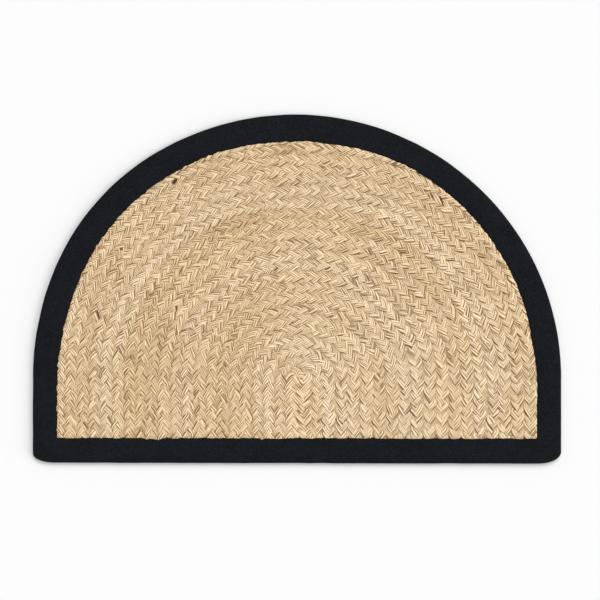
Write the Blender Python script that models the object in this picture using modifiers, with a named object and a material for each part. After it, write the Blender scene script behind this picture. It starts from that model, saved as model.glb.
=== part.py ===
"""Half-round doormat: a coil of flat jute plait, cut across and bound all round with cotton tape.

The mat lies on the floor at z = 0, with its straight edge towards -Y and its round edge towards +Y.
The origin is under the middle of the box that holds the mat. All sizes are in metres.
"""

import math

import bmesh
import bpy

# The whole mat: about a half circle that runs on into two short straight sides.
MAT_WIDTH = 0.750
MAT_DEPTH = 0.496
ARC_RADIUS = MAT_WIDTH / 2
ARC_CENTRE_Y = -0.1253
FOOT_Y = -MAT_DEPTH / 2
LEFT_FOOT_RISE = 0.0014

# The mat is hand made, so its arc swells and flattens: middle angle, spread each way, height.
ARC_SWELLS = [(140, 36, 0.0033), (66, 66, -0.0024)]

# The two front corners of the tape, each a quarter ellipse: its reach along X, then along Y.
LEFT_CORNER = (0.030, 0.013)
RIGHT_CORNER = (0.033, 0.017)

# Cotton binding tape, folded over the edge and showing as much below as above.
TAPE_THICKNESS = 0.0012
TAPE_HEIGHT = 0.0072
TAPE_FACE_FRONT = 0.036
TAPE_FOLD_RADIUS = 0.0034

# The opening that the tape leaves, which is as uneven as the mat's own arc.
OPENING_RADIUS = 0.337
OPENING_SWELLS = [(0, 9, 0.0030), (88, 26, -0.0032), (137, 34, 0.0022), (180, 12, 0.0025)]
OPENING_CORNER = (0.004, 0.004)

# Jute plait: one flat plait, wound on itself in turns that lie edge to edge.
# Its turns lie closer at the back of the mat than at its sides.
PLAIT_WIDTH = 0.0161
WIDER_AT_RIGHT = 0.04
WIDER_AT_SIDES = 0.064
PLAIT_HEIGHT = 0.0080
SEAM_DEPTH = 0.0011
EDGE_DROP = 0.0006
EDGE_DROP_REACH = 0.012
COIL_CENTRE_X = 0.0010
TURNS = 26

# Clear space between the tape and the jute that it holds.
GAP = 0.0003

# Steps round each curve, across each turn of the plait, and round each fold.
OUTLINE_ARC_STEPS = 64
CORNER_STEPS = 6
COIL_ARC_STEPS = 40
STEPS_ACROSS_TURN = 3
TAPE_FOLD_STEPS = 4
RIM_FOLD_STEPS = 2
WELD = 0.00001
BEVEL_ANGLE = math.radians(45)

# The coil is made past the front edge and is cut there.
COIL_FOOT_Y = FOOT_Y - 0.010


def clear_scene():
    for thing in list(bpy.data.objects):
        bpy.data.objects.remove(thing, do_unlink=True)


def make_collection(name):
    collection = bpy.data.collections.new(name)
    bpy.context.scene.collection.children.link(collection)
    return collection


def make_material(name, colour, roughness):
    material = bpy.data.materials.new(name)
    material.use_nodes = True
    shader = material.node_tree.nodes["Principled BSDF"]
    shader.inputs["Base Color"].default_value = (*colour, 1.0)
    shader.inputs["Roughness"].default_value = roughness
    shader.inputs["Metallic"].default_value = 0.0
    material.diffuse_color = (*colour, 1.0)
    return material


def quarter_ellipse(middle, reach, start):
    """Points of a quarter ellipse, anticlockwise from the angle start, both ends included."""
    points = []
    for step in range(CORNER_STEPS + 1):
        angle = start + step / CORNER_STEPS * math.pi / 2
        points.append((middle[0] + reach[0] * math.cos(angle), middle[1] + reach[1] * math.sin(angle)))
    return points


def swollen_radius(radius, swells, angle):
    """The radius at an angle, with each swell rising and falling smoothly on both sides of its middle."""
    for middle, spread, height in swells:
        away = abs(math.degrees(angle) - middle)
        if away < spread:
            radius += height * (0.5 + 0.5 * math.cos(math.pi * away / spread))
    return radius


def half_round(radius, swells, foot_y, left_corner, right_corner):
    """The mat's kind of outline, anticlockwise: an arc, two straight sides and two round front corners."""
    arc = []
    for step in range(OUTLINE_ARC_STEPS + 1):
        angle = step / OUTLINE_ARC_STEPS * math.pi
        reach = swollen_radius(radius, swells, angle)
        arc.append((reach * math.cos(angle), ARC_CENTRE_Y + reach * math.sin(angle)))
    right_x = swollen_radius(radius, swells, 0.0)
    left_x = -swollen_radius(radius, swells, math.pi)
    left_middle = (left_x + left_corner[0], foot_y + LEFT_FOOT_RISE + left_corner[1])
    right_middle = (right_x - right_corner[0], foot_y + right_corner[1])
    left = quarter_ellipse(left_middle, left_corner, math.pi)
    right = quarter_ellipse(right_middle, right_corner, 1.5 * math.pi)
    return arc + left + right


def outer_outline(inset):
    """The mat's own outline, moved in by inset."""
    left = (LEFT_CORNER[0] - inset, LEFT_CORNER[1] - inset)
    right = (RIGHT_CORNER[0] - inset, RIGHT_CORNER[1] - inset)
    return half_round(ARC_RADIUS - inset, ARC_SWELLS, FOOT_Y + inset, left, right)


def opening_outline(inset):
    """The tape's inner edge, which frames the jute that shows, moved in by inset."""
    foot_y = FOOT_Y + TAPE_FACE_FRONT + inset
    return half_round(OPENING_RADIUS - inset, OPENING_SWELLS, foot_y, OPENING_CORNER, OPENING_CORNER)


def make_plate(name, outline, low, high, collection):
    """A flat plate with the given outline, from z = low to z = high, as a mesh."""
    curve = bpy.data.curves.new(name, "CURVE")
    curve.dimensions = "2D"
    curve.fill_mode = "BOTH"
    curve.extrude = (high - low) / 2
    spline = curve.splines.new("POLY")
    spline.points.add(len(outline) - 1)
    for point, (x, y) in zip(spline.points, outline):
        point.co = (x, y, 0.0, 1.0)
    spline.use_cyclic_u = True
    drawn = bpy.data.objects.new(name + "_outline", curve)
    collection.objects.link(drawn)
    drawn.location.z = (low + high) / 2
    bpy.context.view_layer.update()
    evaluated = drawn.evaluated_get(bpy.context.evaluated_depsgraph_get())
    mesh = bpy.data.meshes.new_from_object(evaluated)
    plate = bpy.data.objects.new(name, mesh)
    plate.matrix_world = drawn.matrix_world.copy()
    collection.objects.link(plate)
    bpy.data.objects.remove(drawn, do_unlink=True)
    shape = bmesh.new()
    shape.from_mesh(mesh)
    bmesh.ops.remove_doubles(shape, verts=shape.verts, dist=WELD)
    shape.to_mesh(mesh)
    shape.free()
    return plate


def round_edges(plate, radius, steps):
    bevel = plate.modifiers.new("Rounded fold", "BEVEL")
    bevel.width = radius
    bevel.segments = steps
    bevel.limit_method = "ANGLE"
    bevel.angle_limit = BEVEL_ANGLE


def make_helper(thing):
    """A cutter isn't part of the mat."""
    thing.hide_render = True
    thing.display_type = "WIRE"
    return thing


def combine(thing, other, operation, name):
    step = thing.modifiers.new(name, "BOOLEAN")
    step.operation = operation
    step.object = other


def coil_stations():
    """Where the coil is crossed, from the foot of the right side round to the foot of the left.

    Each station is the height up the mat, Y, of the coil's middle and the angle that leads out from it.
    """
    sides = [COIL_FOOT_Y, FOOT_Y + TAPE_FACE_FRONT, FOOT_Y + TAPE_FACE_FRONT + EDGE_DROP_REACH]
    right = [(y, 0.0) for y in sides]
    arc = [(ARC_CENTRE_Y, step / COIL_ARC_STEPS * math.pi) for step in range(COIL_ARC_STEPS + 1)]
    left = [(y, math.pi) for y in reversed(sides)]
    return right + arc + left


def turn_spacing(angle):
    return PLAIT_WIDTH * (1.0 + WIDER_AT_RIGHT * math.cos(angle) + WIDER_AT_SIDES * math.cos(2.0 * angle))


def distance_inside_tape(x, y):
    """About how far a point of the jute is from the tape's inner edge."""
    from_front = y - (FOOT_Y + TAPE_FACE_FRONT)
    up = max(y - ARC_CENTRE_Y, 0.0)
    from_side = swollen_radius(OPENING_RADIUS, OPENING_SWELLS, math.atan2(up, x)) - math.hypot(x, up)
    return min(from_front, from_side)


def jute_height(ring, x, y):
    """The top of the plait: low where two turns are sewn together, and drawn down towards the tape."""
    on_seam = ring % STEPS_ACROSS_TURN == 0
    inside = distance_inside_tape(x, y)
    drawn_down = 1.0 - min(max(inside / EDGE_DROP_REACH, 0.0), 1.0)
    return PLAIT_HEIGHT - SEAM_DEPTH * on_seam - EDGE_DROP * drawn_down * drawn_down


def make_coil(collection):
    """The coiled plait before it is trimmed: a grid bent into nested horseshoes, over a flat underside."""
    stations = coil_stations()
    station_steps = len(stations) - 1
    ring_steps = TURNS * STEPS_ACROSS_TURN
    shape = bmesh.new()
    bmesh.ops.create_grid(shape, x_segments=station_steps, y_segments=ring_steps, size=0.5)
    for vertex in shape.verts:
        station = round((vertex.co.x + 0.5) * station_steps)
        ring = round((vertex.co.y + 0.5) * ring_steps)
        middle_y, angle = stations[station]
        reach = ring / STEPS_ACROSS_TURN * turn_spacing(angle)
        x = COIL_CENTRE_X + reach * math.cos(angle)
        y = middle_y + reach * math.sin(angle)
        vertex.co = (x, y, jute_height(ring, x, y))
    bmesh.ops.remove_doubles(shape, verts=shape.verts, dist=WELD)
    bmesh.ops.triangulate(shape, faces=shape.faces)
    rim = [edge for edge in shape.edges if edge.is_boundary]
    walls = bmesh.ops.extrude_edge_only(shape, edges=rim)
    lowered = [item for item in walls["geom"] if isinstance(item, bmesh.types.BMVert)]
    for vertex in lowered:
        vertex.co.z = 0.0
    foot = [item for item in walls["geom"] if isinstance(item, bmesh.types.BMEdge) and item.is_boundary]
    bmesh.ops.contextual_create(shape, geom=foot)
    bmesh.ops.recalc_face_normals(shape, faces=shape.faces)
    mesh = bpy.data.meshes.new("jute_field")
    shape.to_mesh(mesh)
    shape.free()
    coil = bpy.data.objects.new("jute_field", mesh)
    collection.objects.link(coil)
    return coil


def finish_piece(thing, material):
    thing.data.materials.clear()
    thing.data.materials.append(material)


def build_jute_field(parts, helpers):
    """The coil, trimmed to what shows inside the tape and to a thinner rim that the tape grips."""
    field = make_coil(parts)
    trimmed = make_plate("trimmed_shape", opening_outline(GAP), -PLAIT_HEIGHT, 2 * PLAIT_HEIGHT, helpers)
    lift = TAPE_THICKNESS + GAP
    rim = make_plate("gripped_rim", outer_outline(lift), lift, TAPE_HEIGHT - lift, helpers)
    round_edges(rim, TAPE_FOLD_RADIUS - lift, RIM_FOLD_STEPS)
    combine(make_helper(trimmed), make_helper(rim), "UNION", "Add the gripped rim")
    combine(field, trimmed, "INTERSECT", "Trim the coil")
    finish_piece(field, make_material("jute", (0.67, 0.49, 0.29), 0.85))
    return field


def build_binding(parts, helpers):
    """The tape: the whole mat's outline, less the jute's opening and the pocket for its rim."""
    binding = make_plate("binding", outer_outline(0.0), 0.0, TAPE_HEIGHT, parts)
    round_edges(binding, TAPE_FOLD_RADIUS, TAPE_FOLD_STEPS)
    low = TAPE_THICKNESS
    high = TAPE_HEIGHT - TAPE_THICKNESS
    pocket = make_plate("rim_pocket", outer_outline(TAPE_THICKNESS), low, high, helpers)
    round_edges(pocket, TAPE_FOLD_RADIUS - TAPE_THICKNESS, RIM_FOLD_STEPS)
    opening = make_plate("jute_opening", opening_outline(0.0), -TAPE_HEIGHT, 2 * TAPE_HEIGHT, helpers)
    combine(binding, make_helper(pocket), "DIFFERENCE", "Hollow the pocket")
    combine(binding, make_helper(opening), "DIFFERENCE", "Cut the opening")
    finish_piece(binding, make_material("black_cotton", (0.011, 0.012, 0.016), 0.9))
    return binding


def main():
    clear_scene()
    parts = make_collection("half_round_doormat")
    helpers = make_collection("cutters")
    build_jute_field(parts, helpers)
    build_binding(parts, helpers)


main()
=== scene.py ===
import math

import bpy
import numpy as np
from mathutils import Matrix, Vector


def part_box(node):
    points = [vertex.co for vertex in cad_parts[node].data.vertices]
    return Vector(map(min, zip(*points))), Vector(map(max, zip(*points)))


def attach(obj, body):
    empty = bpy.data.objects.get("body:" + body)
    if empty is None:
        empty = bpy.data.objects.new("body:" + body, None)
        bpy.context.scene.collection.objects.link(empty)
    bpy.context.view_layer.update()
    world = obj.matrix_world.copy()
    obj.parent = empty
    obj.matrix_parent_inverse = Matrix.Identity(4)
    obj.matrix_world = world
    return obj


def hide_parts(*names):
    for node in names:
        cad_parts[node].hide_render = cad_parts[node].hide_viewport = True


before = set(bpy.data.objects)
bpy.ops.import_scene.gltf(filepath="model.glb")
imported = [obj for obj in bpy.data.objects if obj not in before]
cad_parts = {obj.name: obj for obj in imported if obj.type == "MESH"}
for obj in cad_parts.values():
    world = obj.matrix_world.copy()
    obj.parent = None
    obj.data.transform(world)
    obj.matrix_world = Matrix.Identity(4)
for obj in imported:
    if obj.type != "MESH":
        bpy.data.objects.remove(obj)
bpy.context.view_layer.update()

# Half-round doormat: plaited jute, wound in turns and bound with black cotton tape.
# X runs along the straight edge, Y towards the round edge, Z up. All lengths are in metres.

tapeLow, tapeHigh = (np.array(corner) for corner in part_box("binding"))
juteLow, juteHigh = (np.array(corner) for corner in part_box("jute_field"))

mat = {
    "halfWidth": (tapeHigh[0] - tapeLow[0]) / 2,
    "footY": tapeLow[1],                # straight edge, at its right end
    "leftFootRise": 0.0014,             # the straight edge lies this much further back at its left end
    "backDip": 0.0017,                  # the arc is this much lower at the back than a half circle
    "arcSwells": [(140, 36, 0.0033), (66, 66, -0.0024)],     # middle angle, spread each way, height
    "leftCorner": (0.030, 0.013),       # reach along X, then along Y
    "rightCorner": (0.033, 0.017),
    "openingRadius": 0.337,
    "openingSwells": [(0, 9, 0.0030), (88, 26, -0.0032), (137, 34, 0.0022), (180, 12, 0.0025)],
    "openingCorner": (0.004, 0.004),
    "tapeFaceFront": 0.036,
    "tapeThickness": 0.0012,
    "rimSlope": (-0.0025, 0.0030),      # inwards from the tape's edge, where the jute rises from its rim
    "rimRoom": 0.0015,                  # from the tape's face to the rim
}
arcCentreY = tapeHigh[1] - mat["halfWidth"] + mat["backDip"]
tapeTop = tapeHigh[2]
juteTop = juteHigh[2]


def report(text):
    print("doormat:", text, flush=True)


def deselectAll():
    bpy.ops.object.select_all(action="DESELECT")


def smoothStep(low, high, value):
    part = np.clip((value - low) / (high - low), 0, 1)
    return part * part * (3 - 2 * part)


def wander(rng, where, spacing, size):
    # smooth random drift along a length, with one new value every spacing
    knots = rng.normal(0.0, size, int(np.max(where) / spacing) + 4)
    place = where / spacing + rng.random()
    first = np.floor(place).astype(int)
    part = place - first
    ease = part * part * (3 - 2 * part)
    return knots[first] * (1 - ease) + knots[first + 1] * ease


def swollenRadius(radius, swells, angle):
    reach = np.full(np.shape(angle), float(radius))
    for middle, spread, height in swells:
        away = np.abs(np.degrees(angle) - middle)
        reach += np.where(away < spread, height * (0.5 + 0.5 * np.cos(np.pi * away / spread)), 0)
    return reach


def footLine(x):
    # how far back the straight edge lies at a place along it, against its right end
    return mat["leftFootRise"] * (0.5 - x / (2 * mat["halfWidth"]))


def insideOpening(x, y):
    # how far a point is inside the tape's inner edge, and negative under the tape
    up = np.maximum(y - arcCentreY, 0)
    edge = swollenRadius(mat["openingRadius"], mat["openingSwells"], np.arctan2(up, x))
    front = y - mat["footY"] - mat["tapeFaceFront"] - footLine(x)
    return np.minimum(front, edge - np.hypot(x, up))


# Mesh tools that the pieces share

def gridPiece(name, points):
    # a grid primitive, its rows and columns of points laid where the piece needs them
    rows, columns = points.shape[:2]
    deselectAll()
    bpy.ops.mesh.primitive_grid_add(x_subdivisions=columns - 1, y_subdivisions=rows - 1, size=1)
    piece = bpy.context.object
    piece.name = name
    piece.data.name = name
    piece.data.vertices.foreach_set("co", points.reshape(-1).astype(np.float32))
    piece.data.update()
    return piece


def addAttribute(piece, name, values):
    layer = piece.data.attributes.new(name, "FLOAT", "POINT")
    layer.data.foreach_set("value", values.reshape(-1).astype(np.float32))


def unroll(piece, across, along):
    # the UV map in metres, so that a weave or fibre keeps its size
    corners = np.empty(len(piece.data.loops), int)
    piece.data.loops.foreach_get("vertex_index", corners)
    places = np.stack([across.reshape(-1)[corners], along.reshape(-1)[corners]], 1)
    piece.data.uv_layers.active.data.foreach_set("uv", places.reshape(-1).astype(np.float32))


def weld(piece, fillEnds):
    # merges the seam along a rolled-up grid, and closes its two ends
    bpy.ops.object.mode_set(mode="EDIT")
    bpy.ops.mesh.select_all(action="SELECT")
    bpy.ops.mesh.remove_doubles(threshold=0.000004)
    if fillEnds:
        bpy.ops.mesh.select_all(action="SELECT")
        bpy.ops.mesh.fill_holes(sides=0)
    bpy.ops.object.mode_set(mode="OBJECT")


def joinPieces(pieces, name):
    deselectAll()
    for piece in pieces:
        piece.select_set(True)
    bpy.context.view_layer.objects.active = pieces[0]
    bpy.ops.object.join()
    joined = bpy.context.object
    joined.name = name
    joined.data.name = name
    return joined


def finishPiece(piece, material, node):
    deselectAll()
    piece.select_set(True)
    bpy.context.view_layer.objects.active = piece
    bpy.ops.object.shade_smooth()
    piece.data.materials.clear()
    piece.data.materials.append(material)
    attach(piece, "root")
    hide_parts(node)
    return piece


# Material tools

def newMaterial(name, roughness):
    material = bpy.data.materials.new(name)
    material.use_nodes = True
    shader = material.node_tree.nodes["Principled BSDF"]
    shader.inputs["Roughness"].default_value = roughness
    return material, material.node_tree, shader


def addNode(tree, kind, settings=None, **sockets):
    # a node with its settings, and its sockets set to a value or linked to another node's output
    node = tree.nodes.new(kind)
    for key, value in (settings or {}).items():
        setattr(node, key, value)
    for key, value in sockets.items():
        socket = node.inputs[int(key[1:])] if key[0] == "_" else node.inputs[key]
        if isinstance(value, bpy.types.NodeSocket):
            tree.links.new(value, socket)
        else:
            socket.default_value = value
    return node


def maths(tree, operation, a, b=0.0, c=0.0, clamp=False):
    node = addNode(tree, "ShaderNodeMath", {"operation": operation, "use_clamp": clamp}, _0=a, _1=b, _2=c)
    return node.outputs[0]


def remap(tree, value, low, high, toLow, toHigh):
    node = addNode(tree, "ShaderNodeMapRange", {"clamp": True},
                   _0=value, _1=low, _2=high, _3=toLow, _4=toHigh)
    return node.outputs[0]


def mixColour(tree, factor, a, b, blend="MIX"):
    node = addNode(tree, "ShaderNodeMix", {"data_type": "RGBA", "blend_type": blend}, _0=factor, _6=a, _7=b)
    return node.outputs[2]


def noise(tree, place, scale, detail=2.0, roughness=0.5):
    node = addNode(tree, "ShaderNodeTexNoise", None,
                   Vector=place, Scale=scale, Detail=detail, Roughness=roughness)
    return node.outputs["Fac"]


def stretched(tree, place, across, along):
    # places divided by a length across and a length along the fibre
    node = addNode(tree, "ShaderNodeMapping", None, Vector=place, Scale=(1 / across, 1 / along, 1.0))
    return node.outputs["Vector"]


def attribute(tree, name):
    return addNode(tree, "ShaderNodeAttribute", {"attribute_name": name}).outputs["Fac"]


# Jute plait

plait = {
    "turnSpacing": 0.0161,
    "widerAtRight": 0.04,
    "widerAtSides": 0.064,
    "centreX": 0.0010,
    "turns": 25,
    "strands": 3,
    "period": 0.0372,           # along the plait, for one strand to come back to its side
    "swing": 0.0061,            # of a strand's middle, to each side
    "rise": 0.0015,             # of a strand's middle, above and below the plait's middle
    "heights": (0.4, 1.0, 0.95, 0.25, -0.55, -1.0),     # share of that rise at each 30 degrees of its swing
    "roll": 11,                 # degrees that a strand leans over the one that it crosses
    "strandWidth": 0.0088,
    "strandThickness": 0.0040,
    "gathered": 0.16,           # how much narrower a strand is where it turns back
    "stepsPerPeriod": 20,
    "pressed": 2.8,             # how hard the plait is pressed flat
    "sway": 0.0009,             # of each turn, to either side of its even place
    "seamDip": 0.0005,          # how far the plait's edges sink beside a seam
    "underTape": 0.013,         # how far each turn runs on under the tape
    # rings that are darker or paler: radius, spread, and how much paler
    "rings": ((0.044, 0.020, 3.2), (0.115, 0.014, -1.4), (0.162, 0.010, 3.3), (0.196, 0.010, -1.7),
              (0.230, 0.012, -4.0), (0.264, 0.010, 2.5), (0.314, 0.014, -2.4)),
    "leftDarker": -1.8,
    "rightPaler": 1.6,
    "turnTone": 0.3,
    "middleWider": 1.22,        # the innermost turn, which closes its own middle
    "sharpness": 0.99,          # of a strand's turn at the plait's edge; 1 is a corner
    "grooveDepth": 0.45,        # of half the strand's thickness
    "grooveShare": 0.25,        # how much of a strand's length has grooves
    # painted shade at a strand's sides
    "sideShade": 0.52,
    # painted shade along the plait's edges beside the seams between turns
    "seamShade": 0.6,
    "seamDipReach": (0.6, 1.05),        # from the plait's middle, as a share of the way to its edge
    # where that painted seam shade reaches
    "seamShadeReach": (0.88, 1.0),
    # how a strand varies along its length: how far apart the changes lie, and their size
    "uneven": {"phase": (0.035, 0.38), "aside": (0.02, 0.0008), "height": (0.018, 0.00020),
               "roll": (0.02, 0.12), "width": (0.02, 0.14), "thickness": (0.03, 0.06),
               "groove": (0.025, 0.45), "grooveAside": (0.025, 0.13), "side": (0.012, 0.35),
               "ribbonHeight": (0.02, 0.08), "seam": (0.012, 0.4), "tone": (0.30, 0.5),
               "armTone": (0.015, 0.12), "ribbonTone": (0.05, 0.32), "hue": (0.05, 0.7),
               "ribbonHue": (0.06, 0.5)},
    "pieces": 5,
    "seed": 11,
}
# one ring of a strand's surface: place across and up, and which points are grooves between ribbons
ringAcross = np.array([1, 0.66, 0.22, -0.22, -0.66, -1, -0.89, -0.68, -0.34, 0, 0.34, 0.68, 0.89])
ringUp = np.array([0, -0.88, -1, -1, -0.88, 0, 0.85, 1, 1, 1, 1, 1, 0.85])
ringGrooves = (8, 10)
ringRibbons = ((11, 12, 0, 1, 2), (9,), (3, 4, 5, 6, 7))


def turnSpacing(angle):
    wider = plait["widerAtRight"] * np.cos(angle) + plait["widerAtSides"] * np.cos(2 * angle)
    return plait["turnSpacing"] * (1 + wider)


def turnPath(turn):
    # the middle line of one turn, from the foot of its right leg round to the foot of its left
    footY = mat["footY"] + mat["tapeFaceFront"] - plait["underTape"]
    legY = np.linspace(footY, arcCentreY, 80)[:-1]
    angle = np.linspace(0, math.pi, 500)
    reach = (turn + 0.5) * turnSpacing(angle)
    x = plait["centreX"] + reach * np.cos(angle)
    y = arcCentreY + reach * np.sin(angle)
    x = np.concatenate([np.full(len(legY), x[0]), x, np.full(len(legY), x[-1])])
    y = np.concatenate([legY, y, legY[::-1]])
    angle = np.concatenate([np.zeros(len(legY)), angle, np.full(len(legY), math.pi)])
    along = np.concatenate([[0], np.cumsum(np.hypot(np.diff(x), np.diff(y)))])
    even = np.linspace(0, along[-1], int(along[-1] / plait["period"] * plait["stepsPerPeriod"]))
    return np.stack([np.interp(even, along, row) for row in (along, x, y, angle)])


def visibleRuns(path):
    # the stretches of a turn that lie in the opening or are gripped by the tape
    kept = insideOpening(path[1], path[2]) > -plait["underTape"]
    ends = np.flatnonzero(np.diff(np.concatenate([[0], kept.astype(int), [0]])))
    return [(a, b) for a, b in zip(ends[::2], ends[1::2]) if b - a > plait["stepsPerPeriod"] // 2]


def strandHeight(phase):
    # a strand climbs quickly at the plait's middle and goes down slowly round its edge
    waves = np.fft.rfft(plait["heights"]) / len(plait["heights"])
    height = np.full(phase.shape, waves[0].real)
    for turns in (1, 2):
        height += 2 * (waves[turns] * np.exp(2j * turns * phase)).real
    return height + waves[3].real * np.cos(6 * phase)


def uneven(rng, along, kind):
    return wander(rng, along, *plait["uneven"][kind])


def strandSurface(rng, path, start, leg, turnTone):
    # rings of points round one strand, and its ribbons' tones
    along, x, y, angle, sway = path
    wide = turnSpacing(angle) / plait["turnSpacing"]
    forward = np.stack([np.gradient(x), np.gradient(y)], 1)
    forward /= np.linalg.norm(forward, axis=1)[:, None]
    out = np.stack([forward[:, 1], -forward[:, 0]], 1)
    phase = 2 * math.pi * (along / plait["period"] + start) + uneven(rng, along, "phase")
    sharp = plait["sharpness"]
    swing = np.arcsin(sharp * np.sin(phase)) / math.asin(sharp) * plait["swing"] * wide * leg
    swing += uneven(rng, along, "aside")
    rise = strandHeight(phase) * plait["rise"]
    rise += uneven(rng, along, "height")
    swing += sway
    middle = np.stack([x + out[:, 0] * swing, y + out[:, 1] * swing, rise], 1)
    ahead = np.gradient(middle, axis=0)
    ahead /= np.linalg.norm(ahead, axis=1)[:, None]
    side = np.cross(ahead, [0, 0, 1])
    side /= np.linalg.norm(side, axis=1)[:, None]
    up = np.cross(side, ahead)
    roll = (np.radians(plait["roll"]) * np.cos(phase) + uneven(rng, along, "roll"))[:, None]
    turnedSide = side * np.cos(roll) + up * np.sin(roll)
    turnedUp = up * np.cos(roll) - side * np.sin(roll)
    halfWidth = plait["strandWidth"] / 2 * (1 + uneven(rng, along, "width")) * (0.5 + 0.5 * wide) * leg
    halfWidth *= 1 - plait["gathered"] * np.sin(phase) ** 8
    halfThick = plait["strandThickness"] / 2 * (1 + uneven(rng, along, "thickness"))
    across = np.tile(ringAcross, (len(along), 1))
    height = np.tile(ringUp, (len(along), 1))
    groove = np.zeros_like(height)
    for column in ringGrooves:      # the grooves between a strand's ribbons come and go, and carry painted shade
        groove[:, column] = np.clip(plait["grooveShare"] + uneven(rng, along, "groove"), 0, 1)
        height[:, column] -= plait["grooveDepth"] * groove[:, column]
        across[:, column] += uneven(rng, along, "grooveAside")
    sides = np.clip(plait["sideShade"] + uneven(rng, along, "side"), 0, 1)
    groove[:, [0, 5]] = 1.0         # painted shade: a strand's own sides are darkened, where the next one lies against it
    groove[:, [6, 12]] = sides[:, None]
    for column in range(7, 12):     # and the ribbons lie a little uneven
        height[:, column] += uneven(rng, along, "ribbonHeight")
    points = middle[:, None, :] + turnedSide[:, None, :] * (across * halfWidth[:, None])[..., None]
    points += turnedUp[:, None, :] * (height * halfThick[:, None])[..., None]
    aside = (points[..., 0] - x[:, None]) * out[:, :1] + (points[..., 1] - y[:, None]) * out[:, 1:]
    edge = np.abs(aside - sway[:, None]) / (plait["turnSpacing"] / 2 * wide[:, None])
    points[..., 2] -= plait["seamDip"] * smoothStep(*plait["seamDipReach"], edge)
    # painted shade beside the seams, where one turn lies against the next
    paintedShade = np.clip(plait["seamShade"] + uneven(rng, along, "seam"), 0, 1)
    seam = smoothStep(*plait["seamShadeReach"], edge) * paintedShade[:, None]
    tone = np.zeros_like(height)
    hue = np.zeros_like(height)
    strandTone = turnTone + uneven(rng, along, "tone") + uneven(rng, along, "armTone")
    nearFoot = smoothStep(0.03, -0.12, y)      # the right leg is paler than the left
    strandTone += plait["rightPaler"] * nearFoot * smoothStep(0, 0.2, x)
    reach = np.hypot(x - plait["centreX"], np.maximum(y - arcCentreY, 0))
    strandTone += plait["leftDarker"] * smoothStep(0, 0.08, -x) * smoothStep(0.27, 0.22, reach)
    for ring, spread, paler in plait["rings"]:
        strandTone += paler * np.exp(-((reach - ring) / spread) ** 2)
    strandHue = uneven(rng, along, "hue")
    for columns in ringRibbons:     # jute differs from ribbon to ribbon and along each
        ribbonTone = strandTone + uneven(rng, along, "ribbonTone")
        ribbonHue = strandHue + uneven(rng, along, "ribbonHue")
        tone[:, columns] = ribbonTone[:, None]
        hue[:, columns] = ribbonHue[:, None]
    for column in ringGrooves:
        tone[:, column] = (tone[:, column - 1] + tone[:, column + 1]) / 2
        hue[:, column] = (hue[:, column - 1] + hue[:, column + 1]) / 2
    return points, tone, hue, groove, seam


def pressFlat(points):
    # the mat is flat on both faces, and thinner where the tape closes over its rim
    free = smoothStep(*mat["rimSlope"], insideOpening(points[..., 0], points[..., 1]))
    gripped = tapeTop / 2 - mat["rimRoom"]
    half = gripped + (juteTop / 2 - gripped) * free
    middleZ = tapeTop / 2 + (juteTop - tapeTop) / 2 * free
    press = plait["pressed"]
    flat = np.tanh(points[..., 2] / (juteTop / 2) * press) / math.tanh(press)
    pressed = points.copy()
    pressed[..., 2] = middleZ + half * np.maximum(flat, -1.0)
    return pressed


def closeRing(values):
    # repeats the first column after the last, for the seam of a rolled-up grid
    return np.concatenate([values, values[:, :1]], axis=1)


def makeStrand(rng, name, path, start, leg, turnTone):
    points, tone, hue, groove, seam = strandSurface(rng, path, start, leg, turnTone)
    points = closeRing(pressFlat(points))
    strand = gridPiece(name, points)
    for label, values in (("tone", tone), ("hue", hue), ("groove", groove), ("seam", seam)):
        addAttribute(strand, label, closeRing(values))
    steps = np.linalg.norm(np.diff(points[len(points) // 2], axis=0), axis=1)
    across = np.tile(np.concatenate([[0], np.cumsum(steps)]), (len(points), 1))
    along = np.tile(path[0][:, None], (1, points.shape[1]))
    unroll(strand, across + rng.random() * 3, along * 1.15 + rng.random() * 3)
    weld(strand, fillEnds=True)
    return strand


def makePlait():
    rng = np.random.default_rng(plait["seed"])
    strands = [[] for _ in range(plait["pieces"])]
    lengths = []
    for turn in range(plait["turns"]):
        path = turnPath(turn)
        start = rng.random()
        sway = wander(rng, path[0], 0.06, plait["sway"])
        sway += wander(rng, path[0], 0.022, 0.5 * plait["sway"])
        path = np.concatenate([path, sway[None, :]])
        leg = plait["middleWider"] if turn == 0 else 1.0
        turnTone = rng.normal(0, plait["turnTone"])
        for first, last in visibleRuns(path):
            for strand in range(plait["strands"]):
                name = f"strand_{turn}_{first}_{strand}"
                run = path[:, first:last]
                at = start + strand / plait["strands"]
                lengths.append((turn, makeStrand(rng, name, run, at, leg, turnTone)))
    total = sum(len(strand.data.vertices) for _, strand in lengths)
    done = 0
    for _, strand in lengths:
        strands[min(int(done / total * plait["pieces"]), plait["pieces"] - 1)].append(strand)
        done += len(strand.data.vertices)
    return [joinPieces(group, f"jute_plait_{number + 1}") for number, group in enumerate(strands)]


# Jute colours

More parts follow.
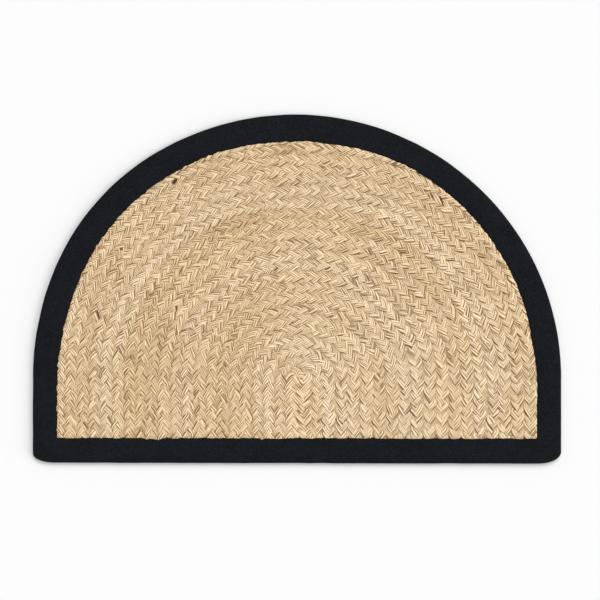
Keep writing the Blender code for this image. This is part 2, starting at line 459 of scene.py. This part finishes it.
jute = {
    "pale": (0.934, 0.745, 0.507, 1.0),
    "middle": (0.750, 0.536, 0.288, 1.0),
    "dark": (0.152, 0.052, 0.001, 1.0),
    "knot": (0.045, 0.018, 0.004, 1.0),
    "low": (1.0, 0.98, 0.92, 1.0),      # painted shade: how the light colours where the plait lies lowest, multiplied into the colour
    "lowHeight": 0.0070,
    "highHeight": 0.0078,
    "pink": (0.82, 0.58, 0.385, 1.0),
    "green": (0.75, 0.60, 0.32, 1.0),
    "roughness": 0.62,
    "specular": 0.25,
    "fibreBump": 0.00025,       # height of the fibres on a ribbon
    # grain along a strand: its width, its length, and how much paler or darker it makes the jute
    "fine": (0.0012, 0.030, 0.24),
    "hairs": (0.00030, 0.015, 0.58),
    "broad": (0.0030, 0.025, 0.02),
    "blotches": 0.10,
    "toneStrength": 0.10,       # of each strand and ribbon
    "hueStrength": 0.24,
    "lineStrength": 0.92,       # how dark the painted shade lines are beside and along the strands
    "stainStrength": 0.30,
    "splitSpacing": 0.0027,     # where a ribbon splits into finer ones, with painted shade in the gaps between them
    # small dark knots and streaks: X, Y, radius, how many times longer, and the way that one leans
    "specks": ((-0.1722, 0.1538, 0.0039, 1, 0), (-0.1744, 0.1512, 0.0034, 1, 0),
               (-0.2488, 0.0570, 0.0025, 1, 0),
               (0.1908, 0.1329, 0.0016, 5, -68), (0.2040, 0.1268, 0.0021, 5, -63)),
}


def makeJuteMaterial(name, paintedShade=None, split=1.0):
    material, tree, shader = newMaterial(name, jute["roughness"])
    unrolled = addNode(tree, "ShaderNodeUVMap", {"uv_map": "UVMap"}).outputs[0]
    place = addNode(tree, "ShaderNodeTexCoord").outputs["Object"]
    fine = noise(tree, stretched(tree, unrolled, *jute["fine"][:2]), 1.0, 0.0, 0.5)
    hairs = noise(tree, stretched(tree, unrolled, *jute["hairs"][:2]), 1.0, 2.0, 0.6)
    broad = noise(tree, stretched(tree, unrolled, *jute["broad"][:2]), 1.0, 2.0, 0.5)
    blotches = noise(tree, place, 14.0, 2.0, 0.5)
    tone = maths(tree, "MULTIPLY", attribute(tree, "tone"), jute["toneStrength"])
    for grain, strength in ((fine, jute["fine"][2]), (broad, jute["broad"][2]),
                            (blotches, jute["blotches"]), (hairs, jute["hairs"][2])):
        tone = maths(tree, "ADD", tone, remap(tree, grain, 0.3, 0.7, -strength, strength))
    paler = maths(tree, "ADD", tone, 0.6, clamp=True)
    colour = mixColour(tree, paler, jute["middle"], jute["pale"])
    hue = attribute(tree, "hue")
    colour = mixColour(tree, remap(tree, hue, 0.2, 1.6, 0.0, jute["hueStrength"]), colour, jute["pink"])
    colour = mixColour(tree, remap(tree, hue, -0.2, -1.6, 0.0, jute["hueStrength"]), colour, jute["green"])
    # painted shade: dark lines at the strands' sides, in the grooves between ribbons and where ribbons
    # split
    line = remap(tree, attribute(tree, "groove"), 0.46, 0.70, 0.0, 1.0)
    parts = addNode(tree, "ShaderNodeSeparateXYZ", None, Vector=unrolled)
    drift = noise(tree, stretched(tree, unrolled, 0.004, 0.020), 1.0, 1.0, 0.4)
    drift = maths(tree, "MULTIPLY", drift, 2.5)
    comb = maths(tree, "MULTIPLY_ADD", parts.outputs[0], math.pi / jute["splitSpacing"], drift)
    comb = maths(tree, "ABSOLUTE", maths(tree, "SINE", comb))
    whole = noise(tree, stretched(tree, unrolled, 0.010, 0.030), 1.0, 1.0, 0.4)
    parted = remap(tree, whole, 0.32, 0.50, 0.65 * split, split)
    comb = maths(tree, "MULTIPLY", remap(tree, comb, 0.56, 0.28, 0.0, 1.0), parted)
    # painted shade beside the seams between turns
    paintedSeamShade = remap(tree, attribute(tree, "seam"), 0.45, 0.85, 0.0, 0.40)
    deep = maths(tree, "MAXIMUM", maths(tree, "MAXIMUM", line, comb), paintedSeamShade)
    # stains where the jute's tone is low, and the painted shade of the lines and seams
    stain = remap(tree, tone, -0.6, -1.4, 0.0, jute["stainStrength"])
    stainAndShade = maths(tree, "MAXIMUM", stain, maths(tree, "MULTIPLY", deep, jute["lineStrength"]))
    # painted shade: a warm tint multiplied in where the plait lies lowest
    level = addNode(tree, "ShaderNodeSeparateXYZ", None, Vector=place).outputs[2]
    low = remap(tree, level, jute["lowHeight"], jute["highHeight"], 1.0, 0.0)
    colour = mixColour(tree, low, colour, jute["low"], "MULTIPLY")
    colour = mixColour(tree, stainAndShade, colour, jute["dark"])
    for x, y, size, longer, lean in jute["specks"]:
        near = addNode(tree, "ShaderNodeMapping", {"vector_type": "TEXTURE"}, Vector=place,
                       Location=(x, y, 0.0), Rotation=(0.0, 0.0, math.radians(lean)),
                       Scale=(longer, 1.0, 1000.0)).outputs[0]
        reach = addNode(tree, "ShaderNodeVectorMath", {"operation": "LENGTH"}, _0=near).outputs["Value"]
        reach = maths(tree, "MULTIPLY_ADD", fine, size * 1.6, reach)     # with a ragged edge
        inside = remap(tree, reach, 1.35 * size, 1.9 * size, 0.92, 0.0)
        colour = mixColour(tree, inside, colour, jute["knot"])
    # painted shade: the inner sheet's colour multiplied darker, for the shade in the gaps between strands
    if paintedShade:
        colour = mixColour(tree, 1.0, colour, paintedShade, "MULTIPLY")
    tree.links.new(colour, shader.inputs["Base Color"])
    rough = remap(tree, broad, 0.3, 0.7, jute["roughness"] - 0.08, jute["roughness"] + 0.10)
    tree.links.new(rough, shader.inputs["Roughness"])
    shader.inputs["Specular IOR Level"].default_value = jute["specular"]
    height = maths(tree, "MULTIPLY_ADD", deep, -1.2, maths(tree, "MULTIPLY_ADD", hairs, 0.5, fine))
    bump = addNode(tree, "ShaderNodeBump", None, Height=height, Strength=1.0, Distance=jute["fibreBump"])
    tree.links.new(bump.outputs[0], shader.inputs["Normal"])
    return material


# Inner fibres: the loose jute that fills the plait between its strands, as one sheet made darker as painted
# shade where it shows in the gaps

heart = {
    "low": 0.0052,
    "high": 0.00715,
    "underTape": 0.010,
    "stations": 120,
    "rings": 16,
    # painted shade: how much darker the inner sheet is, for the shade in the gaps between strands
    "paintedShade": (0.83, 0.80, 0.775, 1.0),
    "splitShare": 0.7,
    "lean": 35,                 # degrees; its fibres lie as askew to the turns as the strands do
    "uneven": 0.00015,
    "seed": 5,
}


def makeHeart():
    rng = np.random.default_rng(heart["seed"])
    footY = mat["footY"] + mat["tapeFaceFront"] - heart["underTape"]
    legY = np.linspace(footY, arcCentreY, 13)[:-1]
    angle = np.linspace(0, math.pi, heart["stations"])
    edge = swollenRadius(mat["openingRadius"] + heart["underTape"], mat["openingSwells"], angle)
    outX = np.concatenate([np.full(12, edge[0]), edge * np.cos(angle), np.full(12, -edge[-1])])
    outY = np.concatenate([legY, arcCentreY + edge * np.sin(angle), legY[::-1]])
    inY = np.concatenate([legY, np.full(heart["stations"], arcCentreY), legY[::-1]])
    share = np.linspace(0, 1, heart["rings"])[None, :]
    x = outX[:, None] * share
    y = inY[:, None] * (1 - share) + outY[:, None] * share
    z = np.full_like(x, heart["high"]) + rng.normal(0, heart["uneven"], x.shape)
    free = smoothStep(*mat["rimSlope"], insideOpening(x, y))
    points = np.stack([x, y, z * free + (tapeTop / 2 + 0.0006) * (1 - free)], 2)[:, ::-1]
    sheet = gridPiece("plait_heart", points)
    lean = math.radians(heart["lean"])
    x, y = x[:, ::-1], y[:, ::-1]
    across = x * math.cos(lean) + y * math.sin(lean)
    along = y * math.cos(lean) - x * math.sin(lean)
    unroll(sheet, across, along)
    weld(sheet, fillEnds=False)
    solid = sheet.modifiers.new("Thickness", "SOLIDIFY")
    solid.thickness = heart["high"] - heart["low"]
    solid.offset = 1        # downwards, as the sheet faces the floor here
    bpy.ops.object.modifier_apply(modifier=solid.name)
    bpy.ops.object.mode_set(mode="EDIT")
    bpy.ops.mesh.select_all(action="SELECT")
    bpy.ops.mesh.normals_make_consistent(inside=False)
    bpy.ops.object.mode_set(mode="OBJECT")
    return sheet


# Loose fibres on the jute

fibres = {
    "count": 1500,
    "length": (0.006, 0.022),
    "radius": 0.00006,
    "points": 7,
    "seed": 23,
}


def makeFibres():
    rng = np.random.default_rng(fibres["seed"])
    count, points = fibres["count"], fibres["points"]
    turn = rng.random(count) * plait["turns"]
    angle = rng.random(count) * math.pi
    reach = np.sqrt(rng.random(count)) * mat["openingRadius"] * 1.02
    x = reach * np.cos(angle)
    y = arcCentreY + reach * np.sin(angle)
    low = rng.random(count) < 0.30
    x = np.where(low, (rng.random(count) * 2 - 1) * mat["openingRadius"], x)
    y = np.where(low, rng.uniform(mat["footY"] + mat["tapeFaceFront"], arcCentreY, count), y)
    up = np.maximum(y - arcCentreY, 0)
    around = np.arctan2(up, x) + math.pi / 2
    lean = np.where(rng.random(count) < 0.5, 1, -1) * np.radians(32) + rng.normal(0, 0.25, count)
    heading = around + lean
    bend = rng.normal(0, 0.9, count)
    length = rng.uniform(*fibres["length"], count)
    share = np.linspace(-0.5, 0.5, points)
    turned = heading[:, None] + bend[:, None] * share[None, :]
    step = (length / (points - 1))[:, None]
    px = x[:, None] + np.cumsum(np.cos(turned) * step, 1)
    py = y[:, None] + np.cumsum(np.sin(turned) * step, 1)
    inside = insideOpening(px, py)
    keep = inside.min(axis=1) > -0.002
    surface = tapeTop + (juteTop - tapeTop) * smoothStep(-0.001, 0.003, inside)
    arch = rng.uniform(0, 0.0009, count)[:, None] * (1 - (2 * share[None, :]) ** 2)
    pz = surface - 0.00015 + arch
    middles = np.stack([px, py, pz], 2)[keep]
    turned = turned[keep]
    side = np.stack([-np.sin(turned), np.cos(turned), np.zeros_like(turned)], 2)
    taper = (fibres["radius"] * (1 - 0.75 * np.abs(2 * share) ** 3))[None, :, None]
    ring = []
    for corner in range(4):
        spin = -corner * 2 * math.pi / 3
        ring.append(middles + side * taper * math.cos(spin) + np.array([0, 0, 1]) * taper * math.sin(spin))
    hairs = np.stack(ring, 2)
    one = gridPiece("loose_fibres", hairs[0])
    repeat = one.modifiers.new("Repeat", "ARRAY")
    repeat.count = len(hairs)
    bpy.ops.object.modifier_apply(modifier=repeat.name)
    one.data.vertices.foreach_set("co", hairs.reshape(-1).astype(np.float32))
    one.data.update()
    tone = np.repeat(rng.normal(0.6, 0.9, len(hairs)), points * 4)
    addAttribute(one, "tone", tone)
    addAttribute(one, "hue", np.repeat(rng.normal(0, 0.5, len(hairs)), points * 4))
    weld(one, fillEnds=True)
    return one


# Cotton tape

tape = {
    "foldRadius": 0.0034,
    "stationSpacing": 0.0027,
    "hemDip": 0.0005,           # how far the hem is drawn down beside the jute
    "hemDipWidth": 0.004,
    "hemWander": 0.00095,       # of the inner edge's line
    "edgeWander": 0.00025,      # of the outer fold's line
    "swell": 0.00018,           # of the upper face
    "width": 0.081,             # of the tape laid out flat
    "colour": (0.0010, 0.0012, 0.0018, 1.0),
    "linted": 11.0,             # how many times lighter the cloth is where lint lies on it
    "specular": 0.17,
    "threadSpacing": 0.00065,
    "weaveBump": 0.00010,
    "seed": 7,
}


def quarterEllipse(middle, reach, start, steps):
    angle = start + np.linspace(0, math.pi / 2, steps)
    return np.stack([middle[0] + reach[0] * np.cos(angle), middle[1] + reach[1] * np.sin(angle)], 1)


def outlineParts(radius, swells, inset, leftCorner, rightCorner, counts):
    # the mat's kind of outline, anticlockwise from the right end of the arc
    arcSteps, sideSteps, cornerSteps, frontSteps = counts
    angle = np.linspace(0, math.pi, arcSteps)
    reach = swollenRadius(radius, swells, angle)
    arc = np.stack([reach * np.cos(angle), arcCentreY + reach * np.sin(angle)], 1)
    leftFoot = mat["footY"] + inset + mat["leftFootRise"]
    rightFoot = mat["footY"] + inset
    leftMiddle = (arc[-1, 0] + leftCorner[0], leftFoot + leftCorner[1])
    rightMiddle = (arc[0, 0] - rightCorner[0], rightFoot + rightCorner[1])
    left = quarterEllipse(leftMiddle, leftCorner, math.pi, cornerSteps)
    right = quarterEllipse(rightMiddle, rightCorner, 1.5 * math.pi, cornerSteps)
    leftSide = np.linspace(arc[-1], left[0], sideSteps)[1:-1]
    front = np.linspace(left[-1], right[0], frontSteps)[1:-1]
    rightSide = np.linspace(right[-1], arc[0], sideSteps)[1:]
    return np.concatenate([arc, leftSide, left, front, right, rightSide])


def tapeSection(width):
    # once round the tape's own thickness: distance in from the fold, height, and which face it is
    thick = mat["tapeThickness"]
    half = tapeTop / 2
    hem = thick / 2
    fold = tape["foldRadius"]
    down = np.linspace(math.pi / 2, -math.pi / 2, 9)[1:-1]
    hemTurn = np.linspace(-math.pi / 2, math.pi / 2, 5)
    topIn = np.array([0.0012, 0.0024, 0.0042, 0.0075, 0.0120, 0.0175, 0.0230])
    rows = [(-hem + hem * math.cos(turn), tapeTop - hem + hem * math.sin(turn), 1) for turn in hemTurn]
    rows += [(-hem - inward, tapeTop, 1) for inward in topIn]
    out = [(fold * (1 - math.cos(turn)), half + half * math.sin(turn), 0) for turn in down]
    under = [(-hem - inward, 0.0, 1) for inward in topIn[::-2]]
    rowsBack = [(-hem + hem * math.cos(turn), hem + hem * math.sin(turn), 1) for turn in hemTurn]
    pocketLow = [(-0.006, thick, 1), (-0.018, thick, 1)]
    deep = fold - thick
    pocket = [(thick + deep * (1 - math.cos(turn)), half + (half - thick) * math.sin(turn), 0)
              for turn in np.linspace(-math.pi / 2, math.pi / 2, 7)]
    pocketHigh = [(-0.018, tapeTop - thick, 1), (-0.006, tapeTop - thick, 1)]
    section = np.array(rows + [(fold, tapeTop, 0)] + out + [(fold, 0.0, 0)] + under + rowsBack
                       + pocketLow + pocket + pocketHigh)
    inward = np.where(section[None, :, 2] > 0, width[:, None] + section[None, :, 0], section[None, :, 0])
    return inward, np.tile(section[:, 1], (len(width), 1))


def makeTape():
    rng = np.random.default_rng(tape["seed"])
    spacing = tape["stationSpacing"]
    counts = (int(1.13 / spacing), int(0.085 / spacing), 12, int(0.62 / spacing))
    outer = outlineParts(mat["halfWidth"], mat["arcSwells"], 0.0,
                         mat["leftCorner"], mat["rightCorner"], counts)
    inner = outlineParts(mat["openingRadius"], mat["openingSwells"], mat["tapeFaceFront"],
                         mat["openingCorner"], mat["openingCorner"], counts)
    middle = (outer + inner) / 2
    along = np.concatenate([[0], np.cumsum(np.linalg.norm(np.diff(middle, axis=0), axis=1))])
    toInner = inner - outer
    width = np.linalg.norm(toInner, axis=1)
    toInner /= width[:, None]
    fade = np.sin(np.pi * np.clip(along / along[-1], 0, 1)) ** 0.3     # no step where the loop closes
    innerDrift = (wander(rng, along, 0.0055, tape["hemWander"]) + wander(rng, along, 0.045, 0.00035)) * fade
    outerDrift = np.abs(wander(rng, along, 0.030, tape["edgeWander"]) * fade)
    inward, z = tapeSection(width + innerDrift)
    near = np.clip(1 - inward / width[:, None], 0, 1)
    inward += outerDrift[:, None] * near
    x = outer[:, :1] + toInner[:, :1] * inward
    y = outer[:, 1:] + toInner[:, 1:] * inward
    fromHem = (width + innerDrift)[:, None] - inward
    upper = smoothStep(tapeTop / 2, tapeTop, z)
    dip = tape["hemDip"] * (1 - smoothStep(0, tape["hemDipWidth"], fromHem))
    swell = np.zeros_like(z)
    for _ in range(3):      # long low swells in the upper face, as in any pressed cloth edge
        drift = wander(rng, along, 0.025, tape["swell"])[:, None]
        swell += drift * fade[:, None] * np.sin(np.pi * np.clip(inward / width[:, None], 0, 1)) ** 2
    z = z - upper * (dip - np.minimum(swell, 0.0003))
    points = closeRing(np.stack([x, y, z], 2))
    points[-1] = points[0]
    piece = gridPiece("cotton_tape", points)
    steps = np.linalg.norm(np.diff(points[len(points) // 2], axis=0), axis=1)
    across = np.tile(np.concatenate([[0], np.cumsum(steps)]), (len(points), 1))
    unroll(piece, across, np.tile(along[:, None], (1, points.shape[1])))
    weld(piece, fillEnds=False)
    bpy.ops.object.mode_set(mode="EDIT")
    bpy.ops.mesh.select_all(action="SELECT")
    bpy.ops.mesh.normals_make_consistent(inside=False)
    bpy.ops.object.mode_set(mode="OBJECT")
    return piece, along[-1]


def makeTapeMaterial():
    material, tree, shader = newMaterial("black cotton", 0.9)
    unrolled = addNode(tree, "ShaderNodeUVMap", {"uv_map": "UVMap"}).outputs[0]
    place = addNode(tree, "ShaderNodeTexCoord").outputs["Object"]
    parts = addNode(tree, "ShaderNodeSeparateXYZ", None, Vector=unrolled)
    turn = 2 * math.pi / tape["threadSpacing"]
    warp = maths(tree, "SINE", maths(tree, "MULTIPLY", parts.outputs[0], turn))
    weft = maths(tree, "SINE", maths(tree, "MULTIPLY", parts.outputs[1], turn))
    weave = maths(tree, "MULTIPLY", warp, weft)
    lint = noise(tree, place, 520.0, 2.0, 0.6)
    worn = noise(tree, place, 30.0, 3.0, 0.6)
    height = maths(tree, "MULTIPLY_ADD", weave, 0.5, lint)
    bump = addNode(tree, "ShaderNodeBump", None, Height=height, Strength=1.0, Distance=tape["weaveBump"])
    tree.links.new(bump.outputs[0], shader.inputs["Normal"])
    pale = remap(tree, weave, -1.0, 1.0, 0.0, 0.25)
    pale = maths(tree, "ADD", pale, remap(tree, lint, 0.50, 0.74, 0.0, 1.0))
    pale = maths(tree, "ADD", pale, remap(tree, worn, 0.35, 0.7, 0.0, 0.2))
    lighter = tuple(tape["linted"] * part for part in tape["colour"][:3]) + (1.0,)
    tree.links.new(mixColour(tree, pale, tape["colour"], lighter), shader.inputs["Base Color"])
    shader.inputs["Specular IOR Level"].default_value = tape["specular"]
    return material


# Studio: white floor, soft light from the right and from the back

studio = {
    "cameraHeight": 2.4,
    "cameraPlace": (0.00426, -0.0155),
    "frameWidth": 0.8529,       # of the floor, across the picture
    "floorColour": (0.857, 0.857, 0.862, 1.0),
    "worldStrength": 0.48,
    "keyStrength": 1.87,
    "keyAzimuth": -8,           # from the right, and a little towards the front
    "keyElevation": 27,
    "keySoftness": 52,
    "topStrength": 1.76,
    "topAzimuth": 80,           # from the back
    "topElevation": 45,
    "topSoftness": 40,
}


def makeFloor():
    deselectAll()
    bpy.ops.mesh.primitive_plane_add(size=14, location=(0, 0, 0))
    floor = bpy.context.object
    floor.name = "studio_floor"
    material, tree, shader = newMaterial("white floor", 0.8)
    shader.inputs["Base Color"].default_value = studio["floorColour"]
    shader.inputs["Specular IOR Level"].default_value = 0.1
    floor.data.materials.append(material)


def addSun(name, azimuth, elevation, softness, strength):
    bpy.ops.object.light_add(type="SUN", location=(0, 0, 2))
    sun = bpy.context.object
    sun.name = name
    sun.rotation_euler = (0, math.radians(90 - elevation), math.radians(azimuth))
    sun.data.angle = math.radians(softness)
    sun.data.energy = strength


def makeStudio():
    makeFloor()
    deselectAll()
    for sun in ("key", "top"):
        settings = [studio[sun + part] for part in ("Azimuth", "Elevation", "Softness", "Strength")]
        addSun(sun + " light", *settings)
    world = bpy.data.worlds.new("studio") if not bpy.data.worlds else bpy.data.worlds[0]
    bpy.context.scene.world = world
    world.use_nodes = True
    world.node_tree.nodes["Background"].inputs["Color"].default_value = (1.0, 1.0, 1.0, 1.0)
    world.node_tree.nodes["Background"].inputs["Strength"].default_value = studio["worldStrength"]
    bpy.context.scene.view_settings.view_transform = "Standard"
    x, y = studio["cameraPlace"]
    bpy.ops.object.camera_add(location=(x, y, studio["cameraHeight"]), rotation=(0, 0, 0))
    camera = bpy.context.object
    camera.data.lens = camera.data.sensor_width * studio["cameraHeight"] / studio["frameWidth"]
    bpy.context.scene.camera = camera


juteMaterial = makeJuteMaterial("jute")
heartMaterial = makeJuteMaterial("inner jute", heart["paintedShade"], heart["splitShare"])
tapeMaterial = makeTapeMaterial()

plaitPieces = [finishPiece(piece, juteMaterial, "jute_field") for piece in makePlait()]
report(f"plait made in {len(plaitPieces)} pieces")
heartPiece = finishPiece(makeHeart(), heartMaterial, "jute_field")
fibrePiece = finishPiece(makeFibres(), juteMaterial, "jute_field")
report("inner fibres and loose fibres made")
tapePiece, tapeLength = makeTape()
finishPiece(tapePiece, tapeMaterial, "binding")
report(f"tape made, {tapeLength:.3f} m round its middle")

makeStudio()
for piece in plaitPieces + [heartPiece, fibrePiece, tapePiece]:
    piece.data.calc_loop_triangles()
    report(f"{piece.name}: {len(piece.data.loop_triangles)} triangles")
